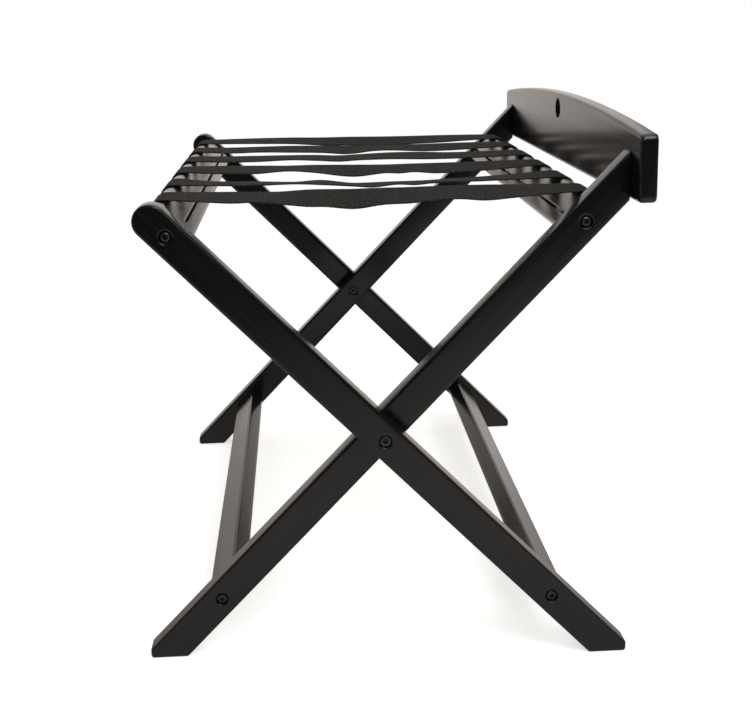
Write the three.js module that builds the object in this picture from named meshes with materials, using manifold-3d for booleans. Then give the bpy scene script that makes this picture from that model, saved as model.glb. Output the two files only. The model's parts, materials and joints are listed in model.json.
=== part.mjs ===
// Folding luggage bench: two crossed wooden frames on a pivot, a seat of six webbing straps and a back board.
// Millimetres, +Z up. X runs from the open front to the back board and Y runs along the rails.
// The outer frame leans from the front top to the back foot, and the inner frame turns inside it.
import * as THREE from 'three';
import { mergeVertices } from 'three/addons/utils/BufferGeometryUtils.js';
import Module from 'manifold-3d';

// Legs
const FRAME_WIDTH = 610; // over the two outer legs
const LEG_WIDTH = 31.3;
const LEG_THICK = 20;
const LEG_GAP = 4; // between an outer leg and the inner leg beside it
const LEG_ANGLE = 45.95; // degrees between a leg and the floor
const LEG_EDGE = 2.2; // rounding along the edges
const PIVOT_HEIGHT = 218;
const TIP_LENGTH = 34; // round tip of an outer leg, from its top bolt
const TOE_CLIP = 8.5; // cut off the sharp toe of each foot
const FOOT_CORNER = 3;

// Rails between the legs
const OUTER_TOP_BOLT = 268; // from the pivot to the bolts of each rail
const INNER_TOP_BOLT = 265.3;
const OUTER_BOTTOM_BOLT = 219.3;
const INNER_BOTTOM_BOLT = 222.3;
const RAIL_THICK = 19.5;
const RAIL_EDGE = 2.6;
const TOP_RAIL_WIDTH = 44.5;
const TOP_RAIL_RECESS = 2.8; // below the upper edge of the legs
const OUTER_NOSE = 25; // rounded nose of the top rail, from its bolts
const INNER_NOSE = 24.1;
const BOTTOM_RAIL_WIDTH = 34;
const BOTTOM_RAIL_RECESS = 8.1;
const OUTER_BOTTOM_OFFSET = 3.2; // middle of the bottom rail, from its bolts
const INNER_BOTTOM_OFFSET = -3.9;
const SLOT_INSET = 12; // from the inner edge of a top rail to its strap slot
const SLOT_END = 4; // slot beyond the outermost straps

// Back board
const BOARD_GAP = 21.3; // from the nose of the back rail to the front of the board
const BOARD_OVERHANG = 5; // beyond each outer leg
const BOARD_THICK = 15.7;
const BOARD_END_HEIGHT = 60.1;
const BOARD_ARCH = 16; // rise of the top edge at mid-length
const BOARD_LIFT = 1.6; // above the lowest corner of the inner legs
const BOARD_CORNER = 6;
const BOARD_EDGE = 3;
const HOLE_DIAMETER = 22;
const HOLE_DROP = 17.5; // from the top of the arch to the centre of the hanging hole

// Straps
const STRAP_COUNT = 6;
const STRAP_WIDTH = 47;
const STRAP_THICK = 1.5;
const STRAP_MARGIN = 7; // from an inner leg to the edge of the outermost strap
const STRAP_TUCK = 12.5; // length of strap end inside the slot
const STRAP_SAG = 2.7;
// Drop of the right edge below the left one at mid-span, from the far strap to the near one
const STRAP_ROLLS = [3, 4, 1, 4, -8, 7];
const STRAP_RIPPLE = 1.4;
const STRAP_WAVES = 3;

// Rail bolts, inserts and dowels
const BOLT_DIAMETER = 6;
const BOLT_HEAD_DIAMETER = 9;
const BOLT_HEAD_HEIGHT = 2.8;
const BOLT_SOCKET = 4.5; // across the flats
const BOLT_SOCKET_DEPTH = 2.2;
const BOLT_SINK = 0.4; // head below the face of the leg
const BOLT_LENGTH = 34; // under the head
const COUNTERBORE_DIAMETER = 11.5;
const INSERT_DIAMETER = 10;
const INSERT_LENGTH = 18;
const DOWEL_DIAMETER = 8;
const DOWEL_LENGTH = 28;
const DOWEL_IN_LEG = 11;
const DOWEL_SPACING_TOP = 15; // from the bolt
const DOWEL_SPACING_BOTTOM = 11.5;

// Pivots
const PIVOT_BOLT_DIAMETER = 6;
const PIVOT_HEAD_DIAMETER = 11.5;
const PIVOT_HEAD_HEIGHT = 2.8;
const PIVOT_SLEEVE_DIAMETER = 9;
const PIVOT_SLEEVE_IN_LEG = 8; // length of the sleeve inside the outer leg
const PIVOT_HEAD_ROOM = 0.3; // counterbore over the head
const PIVOT_WASHER_DIAMETER = 22;

// Screws through the back board
const SCREW_DIAMETER = 5;
const SCREW_HEAD_DIAMETER = 9.5;
const SCREW_LENGTH = 34;
const SCREW_SOCKET = 3;
const SCREW_LOW = 7.5; // above the lowest corner of the inner leg
const SCREW_PITCH = 13;

const CLEARANCE = 0.3; // between pieces that touch
const ARC_ERROR = 0.09; // between a drawn arc and the true one
const CHAMFER = 0.6; // at the ends of turned pieces
const HEAD_RIM = 0.8; // straight rim below the dome of a head
const HEAD_FLAT = 0.5; // round the socket, before the dome
const DOME_STEPS = 2;
const ROUND_SIDES = 16;
const HOLE_SIDES = 32;
const BEND_STEPS = 3; // along the strap at the slot, round the nose and over the span
const NOSE_STEPS = 10;
const SPAN_STEPS = 18;

// Sizes worked out from the driving dimensions
const angle = THREE.MathUtils.degToRad(LEG_ANGLE);
const sin = Math.sin(angle);
const cos = Math.cos(angle);
const half = LEG_WIDTH / 2;
const outerLegY = (FRAME_WIDTH - LEG_THICK) / 2;
const outerSpan = FRAME_WIDTH - 2 * LEG_THICK;
const innerLegY = outerLegY - LEG_THICK - LEG_GAP;
const innerSpan = outerSpan - 2 * (LEG_GAP + LEG_THICK);
const noseRadius = RAIL_THICK / 2;
const headSeat = BOLT_SINK + BOLT_HEAD_HEIGHT + CLEARANCE;
const pivotSeat = BOLT_SINK + PIVOT_HEAD_HEIGHT + CLEARANCE;
const slotWidth = STRAP_THICK + 3 * CLEARANCE;
const slotLength = innerSpan - 2 * (STRAP_MARGIN - SLOT_END);
const topMiddle = half - TOP_RAIL_RECESS - noseRadius;
const bottomMiddle = half - BOTTOM_RAIL_RECESS - noseRadius;
const boltAt = {
  outer: { top: -OUTER_TOP_BOLT, bottom: OUTER_BOTTOM_BOLT },
  inner: { top: -INNER_TOP_BOLT, bottom: INNER_BOTTOM_BOLT },
};
const noseAlong = { outer: OUTER_TOP_BOLT + OUTER_NOSE, inner: INNER_TOP_BOLT + INNER_NOSE };
const bottomOffset = { outer: OUTER_BOTTOM_OFFSET, inner: INNER_BOTTOM_OFFSET };
const boardReach = (noseAlong.inner - noseRadius) * cos - topMiddle * sin + noseRadius + BOARD_GAP;
const lowCorner = PIVOT_HEIGHT + (boardReach * sin - half) / cos;
const boardBottom = lowCorner + BOARD_LIFT;

const wasm = await Module();
wasm.setup();

const lacquer = new THREE.MeshStandardMaterial({ color: 0x1c1b1a, roughness: 0.35, metalness: 0 });
const webbing = new THREE.MeshStandardMaterial({ color: 0x32312f, roughness: 0.9, metalness: 0 });
const blackSteel = new THREE.MeshStandardMaterial({ color: 0x2a2a2b, roughness: 0.4, metalness: 0.9 });
const zinc = new THREE.MeshStandardMaterial({ color: 0xb9b7a8, roughness: 0.45, metalness: 0.9 });
const beech = new THREE.MeshStandardMaterial({ color: 0xcaa77a, roughness: 0.7, metalness: 0 });
const nylon = new THREE.MeshStandardMaterial({ color: 0x202020, roughness: 0.55, metalness: 0 });

// Closed solid of a geometry, ready to be joined and cut
function solid(geometry) {
  const bare = geometry.clone();
  bare.deleteAttribute('normal');
  bare.deleteAttribute('uv');
  const merged = mergeVertices(bare, 1e-4);
  return new wasm.Manifold(new wasm.Mesh({
    numProp: 3,
    vertProperties: new Float32Array(merged.attributes.position.array),
    triVerts: new Uint32Array(merged.index.array),
  }));
}

function cut(geometry, ...tools) {
  const left = tools.reduce((body, tool) => body.subtract(solid(tool)), solid(geometry));
  const mesh = left.getMesh();
  const result = new THREE.BufferGeometry();
  result.setAttribute('position', new THREE.BufferAttribute(new Float32Array(mesh.vertProperties), 3));
  result.setIndex(new THREE.BufferAttribute(new Uint32Array(mesh.triVerts), 1));
  result.computeVertexNormals();
  return result;
}

function named(name, geometry, material) {
  const mesh = new THREE.Mesh(geometry, material);
  mesh.name = name;
  return mesh;
}

// Number of chords that keep an arc within the drawing error
function chords(radius, sweep) {
  const step = 2 * Math.acos(1 - Math.min(ARC_ERROR / radius, 1));
  return Math.max(1, Math.ceil(Math.abs(sweep) / step));
}

// Outline through corners given as [x, y, radius], with each corner replaced by its tangent arc
function roundedOutline(corners) {
  const points = [];
  corners.forEach(([x, y, radius = 0], i) => {
    const corner = new THREE.Vector2(x, y);
    const [px, py] = corners[(i + corners.length - 1) % corners.length];
    const [nx, ny] = corners[(i + 1) % corners.length];
    if (radius === 0) {
      points.push(corner);
      return;
    }
    const back = new THREE.Vector2(px, py).sub(corner).normalize();
    const ahead = new THREE.Vector2(nx, ny).sub(corner).normalize();
    const opening = Math.acos(THREE.MathUtils.clamp(back.dot(ahead), -1, 1));
    const inward = back.clone().add(ahead).normalize();
    const centre = inward.multiplyScalar(radius / Math.sin(opening / 2)).add(corner);
    const turn = Math.sign(ahead.cross(back)) * (Math.PI - opening);
    const first = back.multiplyScalar(radius / Math.tan(opening / 2)).add(corner);
    const steps = chords(radius, turn);
    for (let k = 0; k <= steps; k += 1) {
      points.push(first.clone().rotateAround(centre, (turn * k) / steps));
    }
  });
  const last = points.length - 1;
  return new THREE.Shape(points.filter((point, i) => point.distanceTo(points[i ? i - 1 : last]) > 1e-6));
}

// Flat piece cut to an outline and centred on its thickness, with its edges rounded all round
function plank(outline, thickness, edge) {
  const geometry = new THREE.ExtrudeGeometry(outline, {
    depth: thickness - 2 * edge,
    bevelEnabled: edge > 0,
    bevelThickness: edge,
    bevelSize: edge,
    bevelOffset: -edge,
    bevelSegments: 2,
  });
  return geometry.translate(0, 0, edge - thickness / 2);
}

// Lays an outline drawn along and across a leg upright, with its thickness along Y
function upright(geometry) {
  return geometry.rotateX(Math.PI / 2);
}

// Round bar along Y between two places
function bar(diameter, from, to, sides = ROUND_SIDES) {
  const radius = diameter / 2;
  const geometry = new THREE.CylinderGeometry(radius, radius, Math.abs(to - from), sides);
  return geometry.translate(0, (from + to) / 2, 0);
}

// Hexagon prism along Y, sized across its flats
function hexagon(flats, from, to) {
  return bar(flats / Math.cos(Math.PI / 6), from, to, 6);
}

// Places on a leg, as drawn level with its foot towards +X and the pivot at the origin
const floorAlong = (across) => (PIVOT_HEIGHT + across * cos) / sin;
const reachAlong = (reach, across) => (reach - across * sin) / cos;

// Slot of a top rail, and the dowel beside each bolt as [along, across]
const slotAlong = (kind) => TOP_RAIL_WIDTH - noseAlong[kind] - SLOT_INSET - slotWidth / 2;
function dowelAt(kind, place) {
  const away = bottomOffset[kind] < 0 ? -1 : 1;
  return place === 'top'
    ? [boltAt[kind].top - DOWEL_SPACING_TOP, topMiddle]
    : [boltAt[kind].bottom + away * DOWEL_SPACING_BOTTOM, bottomMiddle];
}

// Foot corners of every leg: the heel, the toe on the floor and the top of the clipped toe
const toeReach = floorAlong(half) * cos + half * sin - TOE_CLIP;
const footCorners = [
  [floorAlong(-half), -half, FOOT_CORNER],
  [toeReach * cos + PIVOT_HEIGHT * sin, toeReach * sin - PIVOT_HEIGHT * cos, FOOT_CORNER],
  [reachAlong(toeReach, half), half, FOOT_CORNER],
];

// Bore into a leg between two depths below its outer face, which looks towards +Y or -Y as the side says
function legBore(side, diameter, from, to) {
  return bar(diameter + 2 * CLEARANCE, side * (LEG_THICK / 2 - from), side * (LEG_THICK / 2 - to));
}

// Bolt holes with their counterbores and the dowel holes of one leg
function jointBores(kind, side) {
  return ['top', 'bottom'].flatMap((place) => {
    const [along, across] = dowelAt(kind, place);
    return [
      legBore(side, BOLT_DIAMETER, -1, LEG_THICK + 1).translate(boltAt[kind][place], 0, 0),
      legBore(side, COUNTERBORE_DIAMETER, -1, headSeat).translate(boltAt[kind][place], 0, 0),
      legBore(side, DOWEL_DIAMETER, LEG_THICK - DOWEL_IN_LEG, LEG_THICK + 1).translate(along, 0, across),
    ];
  });
}

// Outer leg with a round tip, centred on its thickness
function outerLeg(side) {
  const tip = boltAt.outer.top - TIP_LENGTH;
  const outline = roundedOutline([[tip, -half, half], ...footCorners, [tip, half, half]]);
  const sleeveStart = LEG_THICK - PIVOT_SLEEVE_IN_LEG - CLEARANCE;
  return cut(
    upright(plank(outline, LEG_THICK, LEG_EDGE)),
    ...jointBores('outer', side),
    legBore(side, PIVOT_BOLT_DIAMETER, -1, LEG_THICK + 1),
    legBore(side, PIVOT_HEAD_DIAMETER + PIVOT_HEAD_ROOM, -1, pivotSeat),
    legBore(side, PIVOT_SLEEVE_DIAMETER, sleeveStart, LEG_THICK + 1),
  );
}

// Inner leg with its top sawn upright where it carries the back board
function innerLeg(side) {
  const beyond = boardReach + LEG_WIDTH;
  const outline = roundedOutline([[-beyond / cos, -half], ...footCorners, [-beyond / cos, half]]);
  const saw = new THREE.BoxGeometry(beyond, 3 * LEG_THICK, 4 * beyond);
  saw.translate(CLEARANCE - boardReach - beyond / 2, 0, 0).rotateY(-angle);
  const pilots = screwHeights.map((height) => screwSolid(CLEARANCE).translate(0, 0, height).rotateY(-angle));
  return cut(
    upright(plank(outline, LEG_THICK, LEG_EDGE)),
    saw,
    ...pilots,
    ...jointBores('inner', side),
    legBore(side, PIVOT_SLEEVE_DIAMETER, -1, LEG_THICK + 1),
    legBore(side, PIVOT_HEAD_DIAMETER + PIVOT_HEAD_ROOM, LEG_THICK - pivotSeat, LEG_THICK + 1),
  );
}

// Bores into both ends of a rail for the inserts, the bolt tips and the dowels
function railBores(kind, place, span) {
  const bolt = [boltAt[kind][place], 0];
  const bores = [
    [INSERT_DIAMETER, INSERT_LENGTH + 2 * CLEARANCE, bolt],
    [BOLT_DIAMETER, headSeat + BOLT_LENGTH + CLEARANCE - LEG_THICK, bolt],
    [DOWEL_DIAMETER, DOWEL_LENGTH - DOWEL_IN_LEG + 2 * CLEARANCE, dowelAt(kind, place)],
  ];
  return [-1, 1].flatMap((end) => bores.map(([diameter, depth, [along, across]]) => {
    const bore = bar(diameter + 2 * CLEARANCE, end * (span / 2 - depth), end * (span / 2 + 1));
    return bore.translate(along, 0, across);
  }));
}

// Top rail with a round nose for the straps and a slot for their ends
function topRail(kind, span) {
  const nose = -noseAlong[kind];
  const inner = nose + TOP_RAIL_WIDTH;
  const outline = roundedOutline([
    [inner, topMiddle - noseRadius, RAIL_EDGE],
    [inner, topMiddle + noseRadius, RAIL_EDGE],
    [nose, topMiddle + noseRadius, noseRadius],
    [nose, topMiddle - noseRadius, noseRadius],
  ]);
  const slot = new THREE.BoxGeometry(slotWidth, slotLength, 2 * RAIL_THICK);
  slot.translate(slotAlong(kind), 0, topMiddle);
  return cut(upright(plank(outline, span - 2 * CLEARANCE, 0)), slot, ...railBores(kind, 'top', span));
}

function bottomRail(kind, span) {
  const inner = boltAt[kind].bottom + bottomOffset[kind] - BOTTOM_RAIL_WIDTH / 2;
  const outer = inner + BOTTOM_RAIL_WIDTH;
  const outline = roundedOutline([
    [inner, bottomMiddle - noseRadius, RAIL_EDGE],
    [outer, bottomMiddle - noseRadius, RAIL_EDGE],
    [outer, bottomMiddle + noseRadius, RAIL_EDGE],
    [inner, bottomMiddle + noseRadius, RAIL_EDGE],
  ]);
  return cut(upright(plank(outline, span - 2 * CLEARANCE, 0)), ...railBores(kind, 'bottom', span));
}

// Solid turned about Y from a profile of [radius, y] pairs
function turned(profile) {
  return new THREE.LatheGeometry(profile.map(([radius, y]) => new THREE.Vector2(radius, y)), ROUND_SIDES);
}

// Domed top of a head with a socket, from the middle out to the rim
function dome(headDiameter, headHeight) {
  const flat = BOLT_SOCKET / Math.sqrt(3) + HEAD_FLAT;
  const arc = Array.from({ length: DOME_STEPS + 1 }, (_, k) => {
    const turn = (k / DOME_STEPS) * (Math.PI / 2);
    const radius = flat + (headDiameter / 2 - flat) * Math.sin(turn);
    return [radius, (headHeight - HEAD_RIM) * (1 - Math.cos(turn))];
  });
  return [[0, 0], ...arc];
}

// Button-head bolt along Y, with its head at y = 0 and its tip towards +Y
function socketBolt(diameter, headDiameter, headHeight, length) {
  const body = turned([
    ...dome(headDiameter, headHeight),
    [headDiameter / 2, headHeight],
    [diameter / 2, headHeight],
    [diameter / 2, headHeight + length - CHAMFER],
    [diameter / 2 - CHAMFER, headHeight + length],
    [0, headHeight + length],
  ]);
  return cut(body, hexagon(BOLT_SOCKET, -1, BOLT_SOCKET_DEPTH));
}

function ring(outer, inner, length) {
  return turned([[inner / 2, 0], [outer / 2, 0], [outer / 2, length], [inner / 2, length], [inner / 2, 0]]);
}

function dowel() {
  return turned([
    [0, 0],
    [DOWEL_DIAMETER / 2 - CHAMFER, 0],
    [DOWEL_DIAMETER / 2, CHAMFER],
    [DOWEL_DIAMETER / 2, DOWEL_LENGTH - CHAMFER],
    [DOWEL_DIAMETER / 2 - CHAMFER, DOWEL_LENGTH],
    [0, DOWEL_LENGTH],
  ]);
}

// Sleeve nut along Y: its barrel starts inside the outer leg and its head closes the bore of the inner leg
function sleeveNut() {
  const bore = PIVOT_BOLT_DIAMETER / 2 + CLEARANCE;
  const barrel = PIVOT_SLEEVE_DIAMETER / 2;
  const head = PIVOT_HEAD_DIAMETER / 2;
  const shoulder = PIVOT_SLEEVE_IN_LEG + LEG_GAP + LEG_THICK - BOLT_SINK - PIVOT_HEAD_HEIGHT;
  const top = shoulder + PIVOT_HEAD_HEIGHT;
  const body = turned([
    [0, shoulder - CHAMFER],
    [bore, shoulder - CHAMFER],
    [bore, 0],
    [barrel, 0],
    [barrel, shoulder],
    [head, shoulder],
    ...dome(PIVOT_HEAD_DIAMETER, PIVOT_HEAD_HEIGHT).map(([radius, depth]) => [radius, top - depth]).reverse(),
  ]);
  return cut(body, hexagon(BOLT_SOCKET, top - BOLT_SOCKET_DEPTH, top + 1));
}

// The board is drawn upright with its back towards -X, and heights are counted from the pivot
const screwHeights = [SCREW_LOW, SCREW_LOW + SCREW_PITCH].map((height) => lowCorner + height - PIVOT_HEIGHT);

// Countersunk screw pointing to +X, grown all round by an allowance to cut its own hole
function screwSolid(allowance) {
  const shank = SCREW_DIAMETER / 2 + allowance;
  const head = SCREW_HEAD_DIAMETER / 2 + allowance;
  const body = turned([
    [0, -SCREW_LENGTH - allowance],
    [shank / 2, -SCREW_LENGTH - allowance],
    [shank, SCREW_DIAMETER - SCREW_LENGTH],
    [shank, shank - head - CHAMFER],
    [head, -CHAMFER],
    [head, 2 * allowance],
    [0, 2 * allowance],
  ]);
  return body.rotateZ(Math.PI / 2).translate(CLEARANCE - boardReach - BOARD_THICK, 0, 0);
}

function boardScrew() {
  const socket = hexagon(SCREW_SOCKET, -1, SCREW_SOCKET).rotateZ(-Math.PI / 2);
  return cut(screwSolid(0), socket.translate(CLEARANCE - boardReach - BOARD_THICK, 0, 0));
}

// Board with an arched top edge and a hanging hole
function backBoard() {
  const reach = FRAME_WIDTH / 2 + BOARD_OVERHANG;
  const crown = BOARD_END_HEIGHT + BOARD_ARCH;
  const radius = (reach * reach + BOARD_ARCH * BOARD_ARCH) / (2 * BOARD_ARCH);
  const steps = chords(radius, 2 * Math.asin(reach / radius));
  const arch = Array.from({ length: steps + 1 }, (_, k) => {
    const along = reach - (2 * reach * k) / steps;
    const height = crown - radius + Math.sqrt(radius * radius - along * along);
    return [along, height, k % steps ? 0 : BOARD_CORNER];
  });
  const outline = roundedOutline([[-reach, 0, BOARD_CORNER], [reach, 0, BOARD_CORNER], ...arch]);
  const alongY = new THREE.Vector3(0, 1, 0);
  const alongZ = new THREE.Vector3(0, 0, 1);
  const alongX = new THREE.Vector3(1, 0, 0);
  const base = boardBottom - PIVOT_HEIGHT;
  const blank = plank(outline, BOARD_THICK, BOARD_EDGE);
  blank.applyMatrix4(new THREE.Matrix4().makeBasis(alongY, alongZ, alongX));
  blank.translate(-boardReach - BOARD_THICK / 2, 0, base);
  const hole = bar(HOLE_DIAMETER, boardReach - 1, boardReach + BOARD_THICK + 1, HOLE_SIDES);
  hole.rotateZ(Math.PI / 2).translate(0, 0, base + crown - HOLE_DROP);
  const screws = [-1, 1].flatMap((side) => screwHeights.map((height) => (
    screwSolid(CLEARANCE).translate(0, side * innerLegY, height)
  )));
  return cut(blank, hole, ...screws);
}

// Centre line of a strap on a top rail, from its end in the slot round the nose, as [reach, height] points
function strapWrap(kind) {
  const offset = CLEARANCE + STRAP_THICK / 2;
  const bend = slotWidth / 2;
  const slot = slotAlong(kind);
  const under = topMiddle - noseRadius - offset;
  const line = [new THREE.Vector2(slot, topMiddle - noseRadius + STRAP_TUCK)];
  const arc = (x, y, radius, start, sweep, steps) => {
    for (let k = 0; k <= steps; k += 1) {
      const turn = start + (sweep * k) / steps;
      line.push(new THREE.Vector2(x + radius * Math.cos(turn), y + radius * Math.sin(turn)));
    }
  };
  const axis = noseRadius - noseAlong[kind];
  arc(slot - bend, under + bend, bend, 0, -Math.PI / 2, BEND_STEPS);
  arc(axis, topMiddle, noseRadius + offset, -Math.PI / 2, angle - Math.PI, NOSE_STEPS);
  return line.map(({ x, y }) => new THREE.Vector2(x * cos + y * sin, PIVOT_HEIGHT - x * sin + y * cos));
}

// Webbing strap from slot to slot: a ribbon whose two edges hang unevenly between the noses
function strap(roll, phase) {
  const front = strapWrap('outer');
  const back = strapWrap('inner').map(({ x, y }) => new THREE.Vector2(-x, y)).reverse();
  const start = front.at(-1);
  const end = back[0];
  const shares = Array.from({ length: SPAN_STEPS - 1 }, (_, k) => (k + 1) / SPAN_STEPS);
  const line = [...front, ...shares.map((share) => start.clone().lerp(end, share)), ...back];
  const position = [];
  line.forEach((point, i) => {
    const next = line[Math.min(i + 1, line.length - 1)];
    const run = next.clone().sub(line[Math.max(i - 1, 0)]).setLength(STRAP_THICK / 2);
    const share = shares[i - front.length] ?? 0;
    const bell = Math.sin(Math.PI * share) ** 2;
    const ripple = STRAP_RIPPLE * Math.sin(2 * Math.PI * (STRAP_WAVES * share + phase));
    [-1, 1].forEach((side) => {
      const drop = bell * (STRAP_SAG - (side * roll) / 2 + (1 - side) * ripple);
      position.push(point.x - run.y, (side * STRAP_WIDTH) / 2, point.y + run.x - drop);
      position.push(point.x + run.y, (side * STRAP_WIDTH) / 2, point.y - run.x - drop);
    });
  });
  const section = [0, 1, 3, 2];
  const index = [];
  for (let i = 0; i + 1 < line.length; i += 1) {
    section.forEach((corner, k) => {
      const a = 4 * i + corner;
      const b = 4 * i + section[(k + 1) % section.length];
      index.push(a, b, b + 4, a, b + 4, a + 4);
    });
  }
  const last = 4 * (line.length - 1);
  index.push(3, 1, 0, 2, 3, 0, last, last + 1, last + 3, last, last + 3, last + 2);
  const ribbon = new THREE.BufferGeometry();
  ribbon.setAttribute('position', new THREE.Float32BufferAttribute(position, 3));
  ribbon.setIndex(index);
  ribbon.computeVertexNormals();
  return ribbon;
}

const sides = { left: 1, right: -1 };

// Puts a piece that points inwards from the outer face of a side
function placed(mesh, side, along, y, across) {
  mesh.position.set(along, side * y, across);
  mesh.rotation.z = side > 0 ? Math.PI : 0;
  return mesh;
}

// Legs, rails and joints of one frame; facing is -1 where the drawing is turned half round, so its sides swap
function frame(kind, makeLeg, legY, span, facing) {
  const group = new THREE.Group();
  const face = legY + LEG_THICK / 2;
  group.add(named(`${kind}_top_rail`, topRail(kind, span), lacquer));
  group.add(named(`${kind}_bottom_rail`, bottomRail(kind, span), lacquer));
  const bolt = socketBolt(BOLT_DIAMETER, BOLT_HEAD_DIAMETER, BOLT_HEAD_HEIGHT, BOLT_LENGTH);
  const insert = ring(INSERT_DIAMETER, BOLT_DIAMETER + 2 * CLEARANCE, INSERT_LENGTH);
  const pin = dowel();
  Object.entries(sides).forEach(([name, y]) => {
    const side = y * facing;
    const leg = named(`${kind}_leg_${name}`, makeLeg(side), lacquer);
    leg.position.y = side * legY;
    group.add(leg);
    ['top', 'bottom'].forEach((place) => {
      const boltMesh = named(`${kind}_${place}_bolt_${name}`, bolt, blackSteel);
      const insertMesh = named(`${kind}_${place}_insert_${name}`, insert, zinc);
      const dowelMesh = named(`${kind}_${place}_dowel_${name}`, pin, beech);
      const [along, across] = dowelAt(kind, place);
      group.add(placed(boltMesh, side, boltAt[kind][place], face - BOLT_SINK, 0));
      group.add(placed(insertMesh, side, boltAt[kind][place], face - LEG_THICK - CLEARANCE, 0));
      group.add(placed(dowelMesh, side, along, face - LEG_THICK + DOWEL_IN_LEG - CLEARANCE, across));
    });
  });
  return group;
}

// Pivot bolt, sleeve nut and spacer washer on each side
function pivots() {
  const group = new THREE.Group();
  const face = FRAME_WIDTH / 2 - BOLT_SINK;
  const boltLength = LEG_THICK - pivotSeat + LEG_GAP + LEG_THICK - pivotSeat - CHAMFER;
  const bolt = socketBolt(PIVOT_BOLT_DIAMETER, PIVOT_HEAD_DIAMETER, PIVOT_HEAD_HEIGHT, boltLength);
  const nut = sleeveNut();
  const washer = ring(PIVOT_WASHER_DIAMETER, PIVOT_SLEEVE_DIAMETER + 2 * CLEARANCE, LEG_GAP - 2 * CLEARANCE);
  Object.entries(sides).forEach(([name, side]) => {
    const boltMesh = named(`pivot_bolt_${name}`, bolt, blackSteel);
    const nutMesh = named(`pivot_sleeve_nut_${name}`, nut, blackSteel);
    const washerMesh = named(`pivot_washer_${name}`, washer, nylon);
    group.add(placed(boltMesh, side, 0, face, 0));
    group.add(placed(nutMesh, side, 0, outerSpan / 2 + PIVOT_SLEEVE_IN_LEG, 0));
    group.add(placed(washerMesh, side, 0, outerSpan / 2 - CLEARANCE, 0));
  });
  return group;
}

const outerFrame = frame('outer', outerLeg, outerLegY, outerSpan, 1);
outerFrame.rotation.y = angle;

const innerLegsAndRails = frame('inner', innerLeg, innerLegY, innerSpan, -1);
innerLegsAndRails.rotation.y = angle;
const innerFrame = new THREE.Group();
innerFrame.rotation.z = Math.PI;
innerFrame.add(innerLegsAndRails, named('back_board', backBoard(), lacquer));
const screw = boardScrew();
Object.entries(sides).forEach(([name, y]) => {
  ['lower', 'upper'].forEach((place, k) => {
    const mesh = named(`board_screw_${place}_${name}`, screw, blackSteel);
    mesh.position.set(0, -y * innerLegY, screwHeights[k]);
    innerFrame.add(mesh);
  });
});

const frames = new THREE.Group();
frames.position.z = PIVOT_HEIGHT;
frames.add(outerFrame, innerFrame, pivots());

const seat = new THREE.Group();
const strapPitch = (innerSpan - 2 * STRAP_MARGIN - STRAP_WIDTH) / (STRAP_COUNT - 1);
for (let k = 0; k < STRAP_COUNT; k += 1) {
  const mesh = named(`strap_${k + 1}`, strap(STRAP_ROLLS[k % STRAP_ROLLS.length], k / STRAP_COUNT), webbing);
  mesh.position.y = strapPitch * ((STRAP_COUNT - 1) / 2 - k);
  seat.add(mesh);
}

// The origin is on the floor, under the middle of the bench
const bench = new THREE.Group();
bench.add(frames, seat);
const extent = new THREE.Box3().setFromObject(bench, true);
const middle = extent.getCenter(new THREE.Vector3());
bench.position.set(-middle.x, -middle.y, -extent.min.z);

export default bench;
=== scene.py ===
"""Dresses a folding luggage bench: lacquered wood, fasteners, webbing seat, staples and a white studio."""

import json
import math

import bmesh
import bpy
import numpy as np
from bpy.props import FloatProperty, FloatVectorProperty, IntProperty, PointerProperty
from mathutils import Matrix, Vector


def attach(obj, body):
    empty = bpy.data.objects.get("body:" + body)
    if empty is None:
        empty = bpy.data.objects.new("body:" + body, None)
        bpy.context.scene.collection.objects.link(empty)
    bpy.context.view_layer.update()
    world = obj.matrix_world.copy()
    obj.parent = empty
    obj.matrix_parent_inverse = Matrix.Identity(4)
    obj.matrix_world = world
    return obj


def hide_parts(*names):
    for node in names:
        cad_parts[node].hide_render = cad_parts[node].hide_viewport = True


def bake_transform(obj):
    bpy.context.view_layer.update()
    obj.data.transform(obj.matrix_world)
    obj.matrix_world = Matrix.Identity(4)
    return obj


bl_info = {
    "name": "Folding Luggage Bench",
    "version": (1, 0, 0),
    "blender": (4, 5, 0),
    "location": "View3D > Sidebar > Bench",
    "description": "Finishes, webbing and studio for a folding luggage bench",
    "category": "Object",
}

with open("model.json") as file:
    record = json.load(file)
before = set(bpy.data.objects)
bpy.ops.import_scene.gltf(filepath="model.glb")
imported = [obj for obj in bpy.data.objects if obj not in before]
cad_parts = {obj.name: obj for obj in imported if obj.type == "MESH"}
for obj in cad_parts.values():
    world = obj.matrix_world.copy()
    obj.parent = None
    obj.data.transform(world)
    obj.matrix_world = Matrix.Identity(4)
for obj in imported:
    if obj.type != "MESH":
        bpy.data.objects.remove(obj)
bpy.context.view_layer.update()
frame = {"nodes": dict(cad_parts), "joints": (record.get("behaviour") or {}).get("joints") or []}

# Photograph's frame and the place of its optical axis, in pixels
IMAGE_WIDTH, IMAGE_HEIGHT = 752, 707
AXIS_X, AXIS_Y = 348.7776, 240.7

# Photograph's viewpoint: metres from the floor under the pivots, and turns in radians
CAMERA_PLACE = Vector((-0.069232, -1.242595, 0.590619))
CAMERA_YAW = 0.042894
CAMERA_PITCH = 0.197460
CAMERA_ROLL = -0.022498
SENSOR_WIDTH = 36  # millimetres

# Studio: place and side of each square softbox, and the point that all of them face
SOFTBOXES = {
    "overhead": ((0.0, 0.0, 2.4), 2.4),
    "front": ((0.05, -2.2, 1.45), 0.6),
    "high": ((0.72, -1.47, 1.99), 1.1),
}
LIGHT_AIM = Vector((0, 0, 0.25))
FLOOR_GAP = 0.0003  # under the feet
FLOOR_SIDES = 96
REFLECTED_WHITE = "#fff7f0"

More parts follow.
